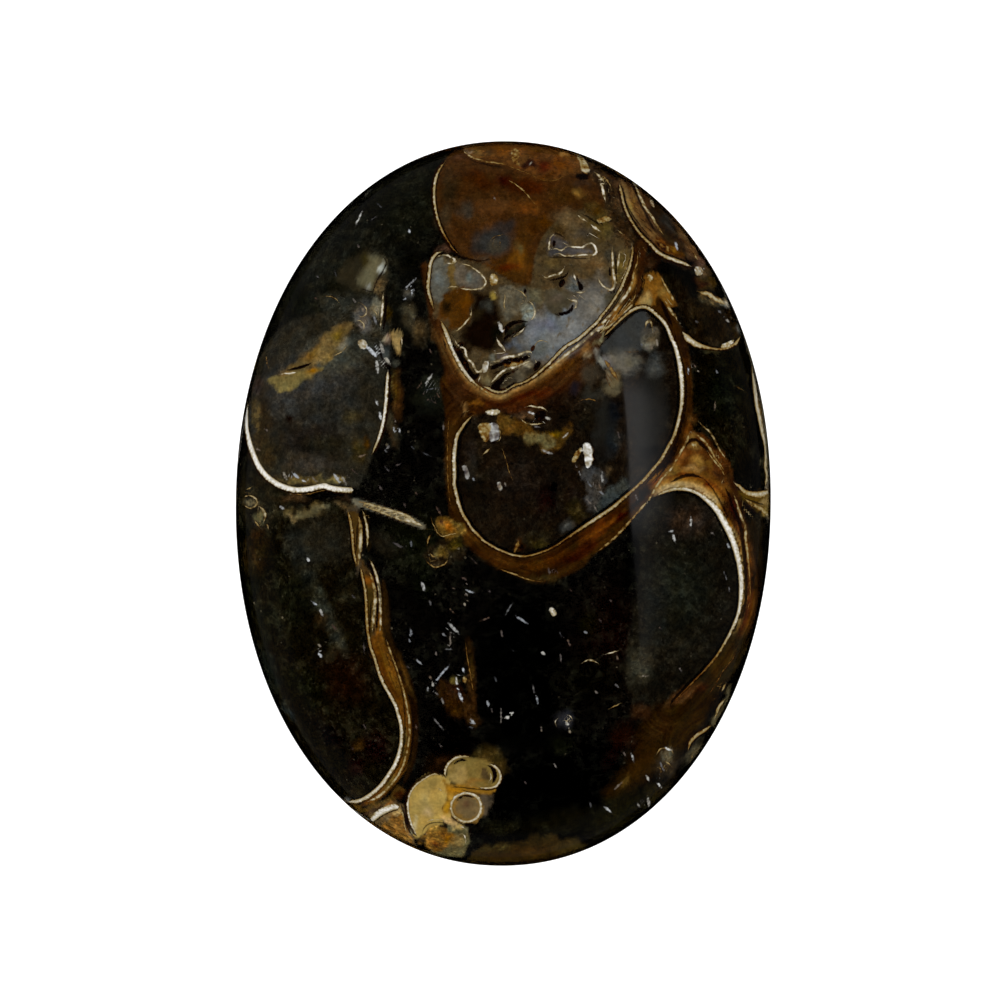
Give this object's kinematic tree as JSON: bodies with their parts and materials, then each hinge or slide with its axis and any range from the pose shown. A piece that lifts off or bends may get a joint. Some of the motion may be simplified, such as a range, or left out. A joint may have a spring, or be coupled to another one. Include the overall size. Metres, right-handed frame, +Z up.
{
  "type": "turritella jasper cabochon",
  "caption": "Oval cabochon of dark silicified rock with fossil snail-shell sections: polished dome, short steep girdle and flat back with a bevelled edge.",
  "frame": {"origin": "middle of the flat back, on the surface that the stone rests on", "axes": "+Z up through the crown of the dome, +Y along the oval's long axis, +X along its short axis"},
  "size_m": [0.0222, 0.03, 0.006],
  "materials": {
    "polished_jasper": "polished opaque silicified stone"
  },
  "bodies": {
    "root": {"cabochon": "polished_jasper"}
  },
  "joints": []
}
